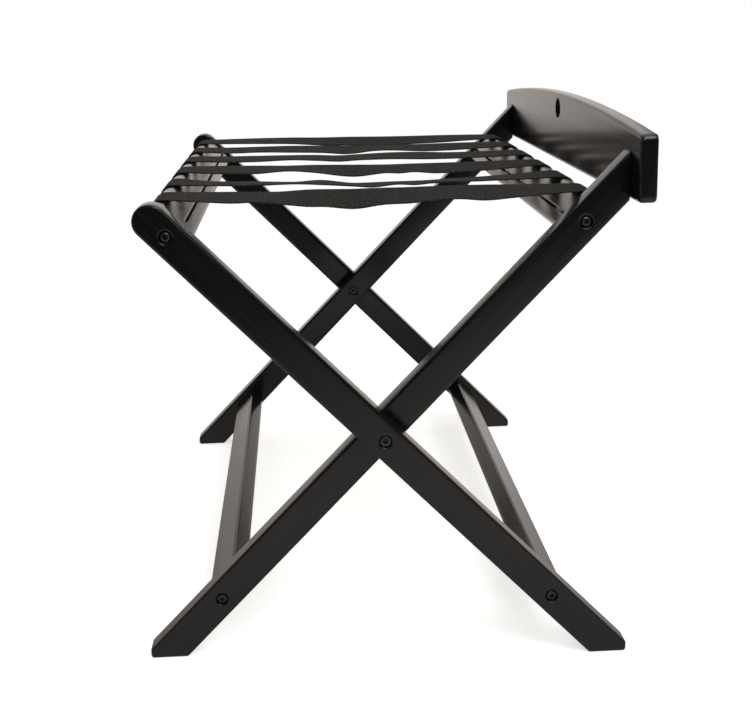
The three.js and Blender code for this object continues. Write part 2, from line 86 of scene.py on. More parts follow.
# Lacquer: sizes of its patterns, and how far the film softens the edges of each kind of piece
BAND_LENGTH = 0.3
BAND_WIDTH = 0.014
PEEL_PITCH = 0.0025
LEG_EDGE = 0.0033
RAIL_EDGE = 0.003
BOARD_EDGE = 0.003

# Shading of the CAD facets
WELD_DISTANCE = 0.000005
SMOOTH_ANGLE = math.radians(38)

# Straps: where they run, in the frame of a rail that lies level (metres from the pivot)
LEG_TILT = math.radians(45.95)
PIVOT = Vector(frame["joints"][0]["pos_m"])
NOSE_RADIUS = 0.00975
RAIL_MIDDLE = 0.0031
SLOT = {"outer": -0.2617, "inner": -0.2581}
NOSE_AXIS = {"outer": -0.28325, "inner": -0.27965}
STRAP_END = 0.00585  # height of a strap's end in the slot, and of a point on its way down
STRAP_LOWER = 0.001
SLOT_BEND = 0.0012  # radius of a strap where it leaves the slot
WEBBING_CLEARANCE = 0.0003
STRAP_PITCH = 0.0922
BEND_STEPS = 6  # round the bend at the slot, and along the underside
NOSE_STEPS = 22

# Staples
STAPLE_OFFSET = 0.0115  # each side of a strap's middle
STAPLE_LEG = 0.006
STAPLE_CORNER = 0.7  # radius of a corner, in widths of the wire
STAPLE_STEPS = 4  # round a corner
# Section of the flat wire with its edges broken, as shares of half its width and depth
STAPLE_SECTION = ((-1, 0.7), (-0.7, 1), (0.7, 1), (1, 0.7), (1, -0.7), (0.7, -1), (-0.7, -1), (-1, -0.7))

# Drop of the far and the near edge below the taut line, in millimetres, at shares of the span
STRAP_EDGES = {
    "strap_1": [
        (0, 0, 0), (0.1, -0.6, 0.2), (0.2, -1, 0.9), (0.3, -1, 1.9), (0.4, -0.4, 4.5), (0.5, -0.5, 5.1),
        (0.6, -0.1, 6.2), (0.7, 0, 5.1), (0.8, -0.3, 3.9), (0.9, -0.2, 1.8), (1, 0, 0),
    ],
    "strap_2": [
        (0, 0, 0), (0.1, 0.6, 1.8), (0.2, 0.2, 1.3), (0.3, -0.1, 2.3), (0.4, 0.6, 3.5), (0.46, 0.9, 5.4),
        (0.5, 1.1, 5.1), (0.56, 1.2, 2.4), (0.62, 1.4, 2.1), (0.72, 1, 3.9), (0.82, 0.3, 3.3),
        (0.92, 0, 1.4), (1, 0, 0),
    ],
    "strap_3": [
        (0, 0, 0), (0.1, 0.6, 1.2), (0.2, 0.7, 1.3), (0.3, 0.8, 0.1), (0.38, 1.2, 1.5), (0.44, 2.2, 2.9),
        (0.5, 1.4, 1.8), (0.6, -0.1, 1.4), (0.7, 0, 2.3), (0.78, 1.1, 2.2), (0.88, 0.8, 1.5), (1, 0, 0),
    ],
    "strap_4": [
        (0, 0, 0), (0.1, 0, 1.8), (0.2, 0.5, 2.7), (0.29, 1.3, 0.5), (0.36, 1, 2.5), (0.47, 1.6, 7.8),
        (0.56, 2.2, 4.7), (0.6, 2.1, 5.3), (0.64, 1.8, 4.2), (0.7, 1.6, 6), (0.8, 1.2, 4.9), (0.9, 0.5, 2.5),
        (1, 0, 0),
    ],
    "strap_5": [
        (0, 0, 0), (0.05, 2.3, 0.4), (0.1, 3.9, 1), (0.2, 4.8, 1.7), (0.31, 6.2, 0.9), (0.38, 4.9, 2.3),
        (0.46, 8.5, 4.4), (0.51, 8.5, 5.8), (0.57, 8, 3.5), (0.62, 7.8, 4.3), (0.66, 7.5, 3),
        (0.72, 6.3, 2.5), (0.82, 4.6, 1.7), (0.92, 2, 0.9), (1, 0, 0),
    ],
    "strap_6": [
        (0, 0, 0), (0.08, 0.6, 1.7), (0.16, 1, 3.8), (0.21, 1.4, 3.6), (0.27, 1.8, 5.5), (0.34, 0.4, 8.5),
        (0.38, 0.3, 8.9), (0.45, 0.6, 11.4), (0.52, 0.2, 8.1), (0.58, 0.2, 7.4), (0.69, -0.5, 4.5),
        (0.76, -0.6, 6.3), (0.83, -0.3, 4.3), (0.92, 0, 1.6), (1, 0, 0),
    ],
}


def linear(code):
    """Linear RGBA of an sRGB hex colour."""
    parts = [int(code[i : i + 2], 16) / 255 for i in (1, 3, 5)]
    return (*(v / 12.92 if v <= 0.04045 else ((v + 0.055) / 1.055) ** 2.4 for v in parts), 1.0)


def add_node(tree, kind, settings=None, sockets=None):
    """Adds a node, sets its fields, and fills or links its input sockets."""
    node = tree.nodes.new(kind)
    for field, value in (settings or {}).items():
        setattr(node, field, value)
    for key, value in (sockets or {}).items():
        if isinstance(value, bpy.types.NodeSocket):
            tree.links.new(value, node.inputs[key])
        else:
            node.inputs[key].default_value = value
    return node


def new_material(name):
    """Empty node material and its tree."""
    material = bpy.data.materials.new(name)
    material.use_nodes = True
    material.node_tree.nodes.clear()
    return material, material.node_tree


class LacquerSettings(bpy.types.PropertyGroup):
    """Finish of the wooden pieces."""

    colour: FloatVectorProperty(
        name="Colour", description="Black lacquer over the wood", subtype="COLOR", size=4, min=0, max=1,
        default=linear("#0a0a0b"),
    )
    pore_colour: FloatVectorProperty(
        name="Pore Colour", description="Lacquer where it is thin over the grain", subtype="COLOR", size=4,
        min=0, max=1, default=linear("#171617"),
    )
    roughness: FloatProperty(
        name="Roughness", description="Middle roughness of the satin film", subtype="FACTOR", min=0, max=1,
        default=0.17,
    )
    grain_width: FloatProperty(
        name="Grain Width", description="Width of a grain streak", unit="LENGTH", min=0.0002, default=0.0016,
    )
    grain_length: FloatProperty(
        name="Grain Length", description="Length of a grain streak", unit="LENGTH", min=0.002, default=0.09,
    )


class FastenerSettings(bpy.types.PropertyGroup):
    """Finish of bolts, inserts, dowels, washers and staples."""

    oxide_colour: FloatVectorProperty(
        name="Black Oxide", description="Bolts, screws and sleeve nuts", subtype="COLOR", size=4,
        min=0, max=1, default=linear("#575654"),
    )
    zinc_colour: FloatVectorProperty(
        name="Zinc", description="Threaded inserts and staples", subtype="COLOR", size=4, min=0, max=1,
        default=linear("#c3c4c2"),
    )
    staple_crown: FloatProperty(
        name="Staple Crown", description="Width of a staple", unit="LENGTH", min=0.004, default=0.0102,
    )
    staple_wire: FloatProperty(
        name="Staple Wire", description="Width of the staple wire", unit="LENGTH", min=0.0004, default=0.0012,
    )


class WebbingSettings(bpy.types.PropertyGroup):
    """Size and finish of the seat straps."""

    width: FloatProperty(
        name="Width", description="Width of a strap", unit="LENGTH", min=0.01, default=0.047,
    )
    thickness: FloatProperty(
        name="Thickness", description="Thickness of the webbing", unit="LENGTH", min=0.0005, default=0.0015,
    )
    # The raised threads take the lighter colour as a painted highlight, and the hollows between them the
    # darker one as painted shade
    colour: FloatVectorProperty(
        name="Thread", description="Raised threads", subtype="COLOR", size=4, min=0, max=1,
        default=linear("#3b3a38"),
    )
    painted_hollow_shade_colour: FloatVectorProperty(
        name="Thread Shade", description="Hollows between the threads", subtype="COLOR", size=4, min=0, max=1,
        default=linear("#10100f"),
    )
    thread_pitch: FloatProperty(
        name="Thread Pitch", description="Spacing of the threads as drawn", unit="LENGTH", min=0.0003,
        default=0.0026,
    )
    span_steps: IntProperty(
        name="Span Steps", description="Mesh steps along the span of a strap", min=20, default=150,
    )


class StudioSettings(bpy.types.PropertyGroup):
    """Floor, light and camera."""

    floor_colour: FloatVectorProperty(
        name="Floor", description="Pale floor", subtype="COLOR", size=4, min=0, max=1,
        default=linear("#e6e6e4"),
    )
    floor_radius: FloatProperty(
        name="Floor Radius", description="Reach of the floor", unit="LENGTH", min=0.5, default=3,
    )
    overhead_power: FloatProperty(
        name="Overhead", description="Power of the overhead softbox", unit="POWER", min=0, default=16,
    )
    front_power: FloatProperty(
        name="Front", description="Power of the softbox above the camera", unit="POWER", min=0, default=4.5,
    )
    high_power: FloatProperty(
        name="High", description="Power of the softbox high on the right", unit="POWER", min=0, default=18,
    )
    lens: FloatProperty(
        name="Lens", description="Focal length on a 36 mm wide sensor", min=1, default=53.097,
    )


def lacquer(name, turn, edge):
    """Satin black lacquer on close-grained wood, sprayed in thin coats and rubbed down.

    The eye sees near black with a soft gloss: blurred reflections at a low angle, and faint streaks where
    the film has sunk into the grain. turn brings the streaks along the piece, and edge is how far the thick
    film softens an edge.
    """
    settings = bpy.context.scene.bench_lacquer
    material, tree = new_material(name)
    place = add_node(tree, "ShaderNodeTexCoord").outputs["Object"]
    # Streaks of grain, wider than real pores of 0.1 to 0.3 mm so that they show
    streaks = add_node(
        tree, "ShaderNodeMapping", {"vector_type": "TEXTURE"},
        {
            "Vector": place, "Rotation": turn,
            "Scale": (settings.grain_length, settings.grain_width, settings.grain_width),
        },
    )
    grain = add_node(
        tree, "ShaderNodeTexNoise", None,
        {"Vector": streaks.outputs[0], "Scale": 1, "Detail": 3, "Roughness": 0.6, "Distortion": 0.2},
    )
    # Broad bands of early and late wood
    bands = add_node(
        tree, "ShaderNodeMapping", {"vector_type": "TEXTURE"},
        {"Vector": place, "Rotation": turn, "Scale": (BAND_LENGTH, BAND_WIDTH, BAND_WIDTH)},
    )
    figure = add_node(
        tree, "ShaderNodeTexNoise", None,
        {"Vector": bands.outputs[0], "Scale": 1, "Detail": 2, "Roughness": 0.5},
    )
    # Orange peel of the sprayed film
    peel = add_node(
        tree, "ShaderNodeTexNoise", None,
        {"Vector": place, "Scale": 1 / PEEL_PITCH, "Detail": 1, "Roughness": 0.4},
    )
    sunk = add_node(
        tree, "ShaderNodeMapRange", None,
        {"Value": grain.outputs[0], "From Min": 0.38, "From Max": 0.75, "To Min": 0, "To Max": 1},
    )
    tone = add_node(
        tree, "ShaderNodeMix", {"data_type": "RGBA"},
        {0: sunk.outputs[0], 6: tuple(settings.colour), 7: tuple(settings.pore_colour)},
    )
    sheen = add_node(
        tree, "ShaderNodeMapRange", None,
        {
            "Value": figure.outputs[0], "From Min": 0.25, "From Max": 0.75,
            "To Min": settings.roughness - 0.03, "To Max": settings.roughness + 0.03,
        },
    )
    dull = add_node(
        tree, "ShaderNodeMath", {"operation": "MULTIPLY_ADD"},
        {0: sunk.outputs[0], 1: 0.06, 2: sheen.outputs[0]},
    )
    # The film runs together over an edge, so an edge shines as a softer one than the wood under it
    flowed = add_node(tree, "ShaderNodeBevel", {"samples": 6}, {"Radius": edge})
    hollow = add_node(
        tree, "ShaderNodeBump", {"invert": True},
        {"Strength": 0.06, "Distance": 0.00006, "Height": sunk.outputs[0], "Normal": flowed.outputs[0]},
    )
    film = add_node(
        tree, "ShaderNodeBump", None,
        {"Strength": 0.06, "Distance": 0.00003, "Height": peel.outputs[0], "Normal": hollow.outputs[0]},
    )
    shader = add_node(
        tree, "ShaderNodeBsdfPrincipled", None,
        {"Base Color": tone.outputs[2], "Roughness": dull.outputs[0], "IOR": 1.5, "Normal": film.outputs[0]},
    )
    add_node(tree, "ShaderNodeOutputMaterial", None, {"Surface": shader.outputs[0]})
    return material


def metal(name, colour, low, high, grit):
    """Plated or blackened steel, turned and then dipped.

    The eye sees a dark or pale metal with soft highlights and fine mottling of the bath. Its roughness runs
    from low to high, and grit is the size of a mottle.
    """
    material, tree = new_material(name)
    place = add_node(tree, "ShaderNodeTexCoord").outputs["Object"]
    mottle = add_node(
        tree, "ShaderNodeTexNoise", None, {"Vector": place, "Scale": 1 / grit, "Detail": 3, "Roughness": 0.6}
    )
    worn = add_node(
        tree, "ShaderNodeMapRange", None,
        {"Value": mottle.outputs[0], "From Min": 0.3, "From Max": 0.7, "To Min": 0.7, "To Max": 1.15},
    )
    # Painted shade: the colour darkens in the sockets and under the rims, by how closed in each point is
    # within 4 mm of the metal round it
    shelter = add_node(tree, "ShaderNodeAmbientOcclusion", {"samples": 8}, {"Distance": 0.004})
    painted_recess_shade = add_node(
        tree, "ShaderNodeMapRange", None,
        {"Value": shelter.outputs["AO"], "From Min": 0.3, "From Max": 0.85, "To Min": 0.4, "To Max": 1},
    )
    shade = add_node(
        tree, "ShaderNodeMath", {"operation": "MULTIPLY"}, {0: worn.outputs[0], 1: painted_recess_shade.outputs[0]}
    )
    tone = add_node(
        tree, "ShaderNodeVectorMath", {"operation": "SCALE"},
        {0: tuple(colour)[:3], "Scale": shade.outputs[0]},
    )
    rough = add_node(
        tree, "ShaderNodeMapRange", None,
        {"Value": mottle.outputs[0], "From Min": 0.3, "From Max": 0.7, "To Min": low, "To Max": high},
    )
    skin = add_node(
        tree, "ShaderNodeBump", None, {"Strength": 0.2, "Distance": 0.00003, "Height": mottle.outputs[0]}
    )
    shader = add_node(
        tree, "ShaderNodeBsdfPrincipled", None,
        {
            "Base Color": tone.outputs[0], "Metallic": 1.0, "Roughness": rough.outputs[0],
            "Normal": skin.outputs[0],
        },
    )
    add_node(tree, "ShaderNodeOutputMaterial", None, {"Surface": shader.outputs[0]})
    return material


def bare_beech():
    """Beech dowel rod, turned and fluted: pinkish tan with short dark flecks along it."""
    material, tree = new_material("bare_beech")
    place = add_node(tree, "ShaderNodeTexCoord").outputs["Object"]
    # Flecks 0.4 mm wide and 3 mm long, along Y
    flecks = add_node(
        tree, "ShaderNodeMapping", {"vector_type": "TEXTURE"},
        {"Vector": place, "Scale": (0.0004, 0.003, 0.0004)},
    )
    fleck = add_node(tree, "ShaderNodeTexNoise", None, {"Vector": flecks.outputs[0], "Scale": 1, "Detail": 2})
    tone = add_node(
        tree, "ShaderNodeMix", {"data_type": "RGBA"},
        {0: fleck.outputs[0], 6: linear("#a87a52"), 7: linear("#d9b48a")},
    )
    tooth = add_node(
        tree, "ShaderNodeBump", None, {"Strength": 0.3, "Distance": 0.00005, "Height": fleck.outputs[0]}
    )
    shader = add_node(
        tree, "ShaderNodeBsdfPrincipled", None,
        {"Base Color": tone.outputs[2], "Roughness": 0.62, "IOR": 1.5, "Normal": tooth.outputs[0]},
    )
    add_node(tree, "ShaderNodeOutputMaterial", None, {"Surface": shader.outputs[0]})
    return material


def moulded_nylon():
    """Black nylon washer, moulded: matt with a fine spark-eroded texture."""
    material, tree = new_material("moulded_black_nylon")
    place = add_node(tree, "ShaderNodeTexCoord").outputs["Object"]
    # Spark-eroded grit of 0.3 mm
    grit = add_node(tree, "ShaderNodeTexNoise", None, {"Vector": place, "Scale": 1 / 0.0003, "Detail": 2})
    tone = add_node(
        tree, "ShaderNodeMix", {"data_type": "RGBA"},
        {0: grit.outputs[0], 6: linear("#161616"), 7: linear("#272726")},
    )
    tooth = add_node(
        tree, "ShaderNodeBump", None, {"Strength": 0.4, "Distance": 0.00004, "Height": grit.outputs[0]}
    )
    shader = add_node(
        tree, "ShaderNodeBsdfPrincipled", None,
        {"Base Color": tone.outputs[2], "Roughness": 0.55, "IOR": 1.53, "Normal": tooth.outputs[0]},
    )
    add_node(tree, "ShaderNodeOutputMaterial", None, {"Surface": shader.outputs[0]})
    return material


def webbing():
    """Polypropylene webbing, plain woven from bulky black yarn.

    The eye sees a matt charcoal band with a fine pepper of raised threads and hardly any shine.
    """
    settings = bpy.context.scene.bench_webbing
    material, tree = new_material("woven_polypropylene_webbing")
    # Threads really lie about 1.3 mm apart, and are drawn twice as coarse so that the weave shows
    pitch = settings.thread_pitch
    along = add_node(tree, "ShaderNodeUVMap", {"uv_map": "Weave"})
    threads = add_node(
        tree, "ShaderNodeMapping", {"vector_type": "TEXTURE"},
        {"Vector": along.outputs[0], "Scale": (pitch, pitch, 1)},
    )
    # One wave of a thread's round back for each unit, because a band repeats every pi / 10 units
    weft = add_node(
        tree, "ShaderNodeTexWave", {"wave_type": "BANDS", "bands_direction": "X"},
        {"Vector": threads.outputs[0], "Scale": math.pi / 10, "Distortion": 0.6, "Detail": 1},
    )
    warp = add_node(
        tree, "ShaderNodeTexWave", {"wave_type": "BANDS", "bands_direction": "Y"},
        {"Vector": threads.outputs[0], "Scale": math.pi / 10, "Distortion": 0.6, "Detail": 1},
    )
    over = add_node(
        tree, "ShaderNodeTexChecker", None,
        {"Vector": threads.outputs[0], "Scale": 1, "Color1": (1, 1, 1, 1), "Color2": (0, 0, 0, 1)},
    )
    raised = add_node(
        tree, "ShaderNodeMix", {"data_type": "FLOAT"},
        {0: over.outputs["Fac"], 2: weft.outputs["Fac"], 3: warp.outputs["Fac"]},
    )
    # Pepper of yarn that stands higher here and there, drawn at 2.2 mm instead of about 0.7 mm
    fibres = add_node(
        tree, "ShaderNodeTexNoise", None,
        {"Vector": along.outputs[0], "Scale": 1 / 0.0022, "Detail": 2, "Roughness": 0.6},
    )
    pepper = add_node(
        tree, "ShaderNodeMapRange", None, {"Value": fibres.outputs[0], "From Min": 0.42, "From Max": 0.62}
    )
    lift = add_node(
        tree, "ShaderNodeMix", {"data_type": "FLOAT"}, {0: 0.72, 2: raised.outputs[0], 3: pepper.outputs[0]}
    )
    # Painted shade in the hollows between threads and painted highlight on the raised yarn, over the weave's
    # own pattern
    tone = add_node(
        tree, "ShaderNodeMix", {"data_type": "RGBA"},
        {0: lift.outputs[0], 6: tuple(settings.painted_hollow_shade_colour), 7: tuple(settings.colour)},
    )
    ribs = add_node(
        tree, "ShaderNodeBump", None, {"Strength": 0.6, "Distance": 0.00035, "Height": lift.outputs[0]}
    )
    rough = add_node(
        tree, "ShaderNodeMapRange", None, {"Value": fibres.outputs[0], "To Min": 0.62, "To Max": 0.88}
    )
    shader = add_node(
        tree, "ShaderNodeBsdfPrincipled", None,
        {
            "Base Color": tone.outputs[2], "Roughness": rough.outputs[0], "IOR": 1.49,
            "Specular IOR Level": 0.06, "Normal": ribs.outputs[0],
        },
    )
    add_node(tree, "ShaderNodeOutputMaterial", None, {"Surface": shader.outputs[0]})
    return material


def edge_shading():
    """Node group that welds the facets of a solid and shades its rounded edges as one curve."""
    group = bpy.data.node_groups.new("rounded_edge_shading", "GeometryNodeTree")
    group.interface.new_socket("Geometry", in_out="INPUT", socket_type="NodeSocketGeometry")
    group.interface.new_socket("Geometry", in_out="OUTPUT", socket_type="NodeSocketGeometry")
    solid = add_node(group, "NodeGroupInput")
    weld = add_node(
        group, "GeometryNodeMergeByDistance", None,
        {"Geometry": solid.outputs[0], "Distance": WELD_DISTANCE},
    )
    bare = add_node(
        group, "GeometryNodeRemoveAttribute", None, {"Geometry": weld.outputs[0], "Name": "custom_normal"}
    )
    round_faces = add_node(
        group, "GeometryNodeSetShadeSmooth", {"domain": "FACE"}, {0: bare.outputs[0], "Shade Smooth": True}
    )
    fold = add_node(group, "GeometryNodeInputMeshEdgeAngle")
    gentle = add_node(
        group, "FunctionNodeCompare", {"data_type": "FLOAT", "operation": "LESS_THAN"},
        {0: fold.outputs["Unsigned Angle"], 1: SMOOTH_ANGLE},
    )
    round_edges = add_node(
        group, "GeometryNodeSetShadeSmooth", {"domain": "EDGE"},
        {0: round_faces.outputs[0], "Shade Smooth": gentle.outputs[0]},
    )
    add_node(group, "NodeGroupOutput", None, {0: round_edges.outputs[0]})
    return group


def soften_edges(node, group):
    """Shades a solid's facets as curves without moving a point of it."""
    node.modifiers.new("rounded_edges", "NODES").node_group = group
    weighted = node.modifiers.new("flat_faces", "WEIGHTED_NORMAL")
    weighted.mode = "FACE_AREA"
    weighted.weight = 100
    weighted.keep_sharp = True


class BENCH_OT_finish_wood(bpy.types.Operator):
    """Lacquers the legs, rails and back board, with the grain along each piece"""

    bl_idname = "bench.finish_wood"
    bl_label = "Finish Wood"

    def execute(self, context):
        # Turn of the grain, and reach of the soft edge
        kinds = {
            "outer_leg": ((0, LEG_TILT, 0), LEG_EDGE),
            "inner_leg": ((0, -LEG_TILT, 0), LEG_EDGE),
            "rail": ((0, 0, math.pi / 2), RAIL_EDGE),
            "board": ((0, 0, math.pi / 2), BOARD_EDGE),
        }
        finishes = {part: lacquer(f"satin_black_lacquer_{part}", *kind) for part, kind in kinds.items()}
        group = edge_shading()
        wooden = [n for n, o in frame["nodes"].items() if o.material_slots[0].name.startswith("lacquer")]
        if not wooden:
            raise RuntimeError("the frame has no lacquered pieces")
        for name in wooden:
            part = next(p for p in finishes if p in name)
            node = frame["nodes"][name]
            node.material_slots[0].material = finishes[part]
            soften_edges(node, group)
        return {"FINISHED"}


class BENCH_OT_finish_fasteners(bpy.types.Operator):
    """Gives bolts, screws, inserts, sleeve nuts, dowels and washers their metal, wood and nylon"""

    bl_idname = "bench.finish_fasteners"
    bl_label = "Finish Fasteners"

    def execute(self, context):
        settings = context.scene.bench_fasteners
        finishes = {
            "black_steel": metal("black_oxide_steel", settings.oxide_colour, 0.34, 0.5, 0.0008),
            "zinc": metal("zinc_plated_steel", settings.zinc_colour, 0.25, 0.42, 0.0012),
            "beech": bare_beech(),
            "nylon": moulded_nylon(),
        }
        group = bpy.data.node_groups["rounded_edge_shading"]
        for name, node in frame["nodes"].items():
            slot = node.material_slots[0].name.split(".")[0]
            if slot in finishes:
                node.material_slots[0].material = finishes[slot]
                soften_edges(node, group)
        return {"FINISHED"}


def level_to_bench(kind, along, across):
    """Point of a level rail (along, across), brought to the bench as (X, Z)."""
    side = 1 if kind == "outer" else -1
    x = along * math.cos(LEG_TILT) + across * math.sin(LEG_TILT)
    z = -along * math.sin(LEG_TILT) + across * math.cos(LEG_TILT)
    return np.array([PIVOT.x + side * x, PIVOT.z + z])


def strap_wrap(kind, thickness):
    """Centre line of a strap on its rail, from its end in the slot, round the nose, to the level top."""
    offset = WEBBING_CLEARANCE + thickness / 2
    radius = NOSE_RADIUS + offset
    below = RAIL_MIDDLE - radius
    slot, nose = SLOT[kind], NOSE_AXIS[kind]
    line = [(slot, STRAP_END), (slot, STRAP_LOWER), (slot, below + SLOT_BEND)]
    for step in range(1, BEND_STEPS):
        a = step / BEND_STEPS * math.pi / 2
        line.append((slot - SLOT_BEND * (1 - math.cos(a)), below + SLOT_BEND * (1 - math.sin(a))))
    underside = slot - SLOT_BEND - nose
    line += [(slot - SLOT_BEND - step / BEND_STEPS * underside, below) for step in range(BEND_STEPS)]
    for step in range(NOSE_STEPS + 1):
        a = step / NOSE_STEPS * (math.pi - LEG_TILT)
        line.append((nose - radius * math.sin(a), RAIL_MIDDLE - radius * math.cos(a)))
    return np.array([level_to_bench(kind, *point) for point in line])


def through(stations, share):
    """Smooth curve through (share, value) stations, level at both ends."""
    at, value = (np.array(c, float) for c in zip(*stations))
    slope = np.zeros_like(value)
    slope[1:-1] = (value[2:] - value[:-2]) / (at[2:] - at[:-2])
    k = np.clip(np.searchsorted(at, share, side="right") - 1, 0, len(at) - 2)
    gap = at[k + 1] - at[k]
    t = (share - at[k]) / gap
    return (
        (2 * t**3 - 3 * t**2 + 1) * value[k] + (t**3 - 2 * t**2 + t) * gap * slope[k]
        + (3 * t**2 - 2 * t**3) * value[k + 1] + (t**3 - t**2) * gap * slope[k + 1]
    )


def strap_middle(place):
    """Middle of a strap across the bench; the far strap has place 0."""
    return STRAP_PITCH * ((len(STRAP_EDGES) - 1) / 2 - place)


def strap_line(settings):
    """Centre line of a taut strap from slot to slot as (X, Z), and where on it the span starts and ends."""
    front = strap_wrap("outer", settings.thickness)
    back = strap_wrap("inner", settings.thickness)[::-1]
    inside = np.linspace(front[-1], back[0], settings.span_steps + 1)[1:-1]
    return np.vstack([front, inside, back]), len(front) - 1, len(front) + len(inside)


def strap_section():
    """Places across a strap and half its thickness there, as shares: flat, with rounded selvedges."""
    across = np.concatenate([[-1, -0.985, -0.95], np.linspace(-0.85, 0.85, 9), [0.95, 0.985, 1]])
    body = np.array([0.45, 0.8, 1, *[0.96] * 9, 1, 0.8, 0.45]) / 2
    return across, body


def solid_mesh(name, vertices, faces):
    """Mesh of a closed solid, with its faces turned outwards."""
    mesh = bpy.data.meshes.new(name)
    mesh.from_pydata(vertices, [], faces)
    turned = bmesh.new()
    turned.from_mesh(mesh)
    bmesh.ops.recalc_face_normals(turned, faces=turned.faces)
    turned.to_mesh(mesh)
    turned.free()
    return mesh


def tube_faces(first, rings, sides):
    """Faces of a closed tube of rings, whose vertices are counted from first."""
    faces = [
        (at + j, at + (j + 1) % sides, at + sides + (j + 1) % sides, at + sides + j)
        for at in range(first, first + (rings - 1) * sides, sides)
        for j in range(sides)
    ]
    last = first + (rings - 1) * sides
    return faces + [tuple(reversed(range(first, first + sides))), tuple(range(last, last + sides))]


def strap_mesh(name, edges, middle, settings):
    """Ribbon of webbing whose two edges hang unevenly, its length, and the two ends of its span."""
    thick, half = settings.thickness, settings.width / 2
    line, first, last = strap_line(settings)
    run = np.gradient(line, axis=0)
    run /= np.linalg.norm(run, axis=1)[:, None]
    lengths = np.concatenate([[0], np.cumsum(np.linalg.norm(np.diff(line, axis=0), axis=1))])
    share = np.clip((line[:, 0] - line[first][0]) / (line[last][0] - line[first][0]), 0, 1)
    on_span = np.zeros(len(line), bool)
    on_span[first : last + 1] = True
    far, near = (
        np.where(on_span, through([(s[0], s[i] / 1000) for s in edges], share), 0) for i in (1, 2)
    )
    across, body = strap_section()
    upper = [(j, 1) for j in range(len(across))]
    lower = [(j, -1) for j in reversed(range(len(across)))]
    vertices, weave = [], []
    for i, (x, z) in enumerate(line):
        reach = math.sqrt(max(half**2 - ((near[i] - far[i]) / 2) ** 2, 0))
        out_x, out_z = -run[i][1], run[i][0]
        for j, side in upper + lower:
            drop = near[i] + (far[i] - near[i]) * (across[j] + 1) / 2
            rise = side * body[j] * thick
            vertices.append((x + out_x * rise, middle + across[j] * reach, z + out_z * rise - drop))
            weave.append((lengths[i], across[j] * half))
    mesh = solid_mesh(name, vertices, tube_faces(0, len(line), 2 * len(across)))
    layer = mesh.uv_layers.new(name="Weave")
    for loop in mesh.loops:
        layer.data[loop.index].uv = weave[loop.vertex_index]
    mesh.shade_smooth()
    return mesh, lengths[-1], line[first], line[last]


class BENCH_OT_weave_straps(bpy.types.Operator):
    """Lays six webbing straps from rail to rail, in place of the plain ones"""

    bl_idname = "bench.weave_straps"
    bl_label = "Weave Straps"

    def execute(self, context):
        settings = context.scene.bench_webbing
        cloth = webbing()
        for place, (name, edges) in enumerate(STRAP_EDGES.items()):
            middle = strap_middle(place)
            mesh, length, start, end = strap_mesh(f"{name}_webbing", edges, middle, settings)
            strap = bpy.data.objects.new(f"{name}_webbing", mesh)
            context.scene.collection.objects.link(strap)
            mesh.materials.append(cloth)
            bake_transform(strap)
            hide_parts(name)
        return {"FINISHED"}


def staple_rings(crown, wire):
    """Rings of a staple in its own frame: crown along Y with its outside at Z = 0, legs towards +Z."""
    depth, corner = wire / 2, wire * STAPLE_CORNER
    path = [(-crown / 2, STAPLE_LEG, 0.0)]
    for step in range(STAPLE_STEPS + 1):
        a = step / STAPLE_STEPS * math.pi / 2
        path.append((-crown / 2 + corner * (1 - math.cos(a)), corner * (1 - math.sin(a)), a))
    path += [(-y, z, math.pi - a) for y, z, a in reversed(path)]
    rings = []
    for y, z, a in path:
        inwards = [(u * wire / 2, depth * (v + 1) / 2) for u, v in STAPLE_SECTION]
        rings.append([(u, y + math.cos(a) * d, z + math.sin(a) * d) for u, d in inwards])
    return rings


def staple_row(kind, rings, below):
    """Vertices and faces of the staples of a rail, two to each strap, with crowns below its underside."""
    along = (SLOT[kind] + NOSE_AXIS[kind]) / 2
    across = RAIL_MIDDLE - NOSE_RADIUS - below
    vertices, faces = [], []
    for place in range(len(STRAP_EDGES)):
        for shift in (-STAPLE_OFFSET, STAPLE_OFFSET):
            faces += tube_faces(len(vertices), len(rings), len(STAPLE_SECTION))
            for u, y, z in (point for ring in rings for point in ring):
                x, height = level_to_bench(kind, along + u, across + z)
                vertices.append((x, strap_middle(place) + shift + y, height))
    return vertices, faces


class BENCH_OT_drive_staples(bpy.types.Operator):
    """Drives two staples through each strap end into the underside of its rail"""

    bl_idname = "bench.drive_staples"
    bl_label = "Drive Staples"

    def execute(self, context):
        settings = context.scene.bench_fasteners
        rings = staple_rings(settings.staple_crown, settings.staple_wire)
        below = WEBBING_CLEARANCE + context.scene.bench_webbing.thickness + settings.staple_wire / 2
        bright = bpy.data.materials["zinc_plated_steel"]
        for kind in ("outer", "inner"):
            mesh = solid_mesh(f"{kind}_rail_staples", *staple_row(kind, rings, below))
            mesh.materials.append(bright)
            staples = bpy.data.objects.new(f"{kind}_rail_staples", mesh)
            context.scene.collection.objects.link(staples)
            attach(staples, f"{kind}_frame")
        return {"FINISHED"}


